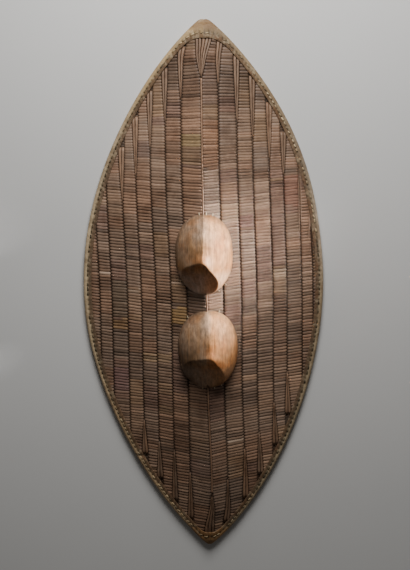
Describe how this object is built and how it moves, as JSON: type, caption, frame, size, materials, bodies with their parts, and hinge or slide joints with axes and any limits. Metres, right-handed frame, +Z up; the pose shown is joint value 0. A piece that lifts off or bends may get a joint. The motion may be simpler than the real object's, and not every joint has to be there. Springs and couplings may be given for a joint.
{
  "type": "shield",
  "caption": "Long pointed oval shield of woven split cane with a raised keel, a stitched hide rim and carved wooden bosses, lying on its back",
  "frame": {"origin": "On the surface that the shield lies on, at the middle of its length and width", "axes": "+Z up out of the front, +Y along the keel towards the upper tip, +X to the right seen from the front"},
  "size_m": [0.4973, 1.1009, 0.1445],
  "materials": {
    "split_cane": "dull brown split cane, woven tight, worn and darkened with age",
    "bare_reed": "bare reeds, slightly glossy reddish brown",
    "buff_hide": "untanned buff hide, dry, scuffed and dirty",
    "pale_thong": "pale thong and cane strip, matte",
    "carved_wood": "light wood, carved smooth, with faint tool marks and handling dirt"
  },
  "bodies": {
    "root": {"woven_panel": "split_cane", "hide_rim": "buff_hide", "rim_stitching": "pale_thong", "keel_rod": "bare_reed", "upper_boss": "carved_wood", "lower_boss": "carved_wood", "grip": "carved_wood", "splint_top_left_1": "bare_reed", "splint_top_left_2": "bare_reed", "splint_top_left_3": "bare_reed", "splint_top_left_4": "bare_reed", "splint_top_left_5": "bare_reed", "splint_top_right_1": "bare_reed", "splint_top_right_2": "bare_reed", "splint_top_right_3": "bare_reed", "splint_top_right_4": "bare_reed", "splint_top_right_5": "bare_reed", "splint_bottom_left_1": "bare_reed", "splint_bottom_left_2": "bare_reed", "splint_bottom_left_3": "bare_reed", "splint_bottom_left_4": "bare_reed", "splint_bottom_right_1": "bare_reed", "splint_bottom_right_2": "bare_reed", "splint_bottom_right_3": "bare_reed", "splint_bottom_right_4": "bare_reed", "splint_bottom_right_5": "bare_reed", "splint_top_keel": "bare_reed", "splint_bottom_keel": "bare_reed", "upper_lashing_1": "pale_thong", "upper_lashing_2": "pale_thong", "upper_lashing_3": "pale_thong", "upper_lashing_4": "pale_thong", "upper_lashing_5": "pale_thong", "upper_lashing_6": "pale_thong", "lower_lashing_1": "pale_thong", "lower_lashing_2": "pale_thong", "lower_lashing_3": "pale_thong", "lower_lashing_4": "pale_thong", "lower_lashing_5": "pale_thong", "grip_strap_top_1": "pale_thong", "grip_strap_top_2": "pale_thong", "grip_strap_bottom_1": "pale_thong", "grip_strap_bottom_2": "pale_thong"}
  },
  "joints": []
}
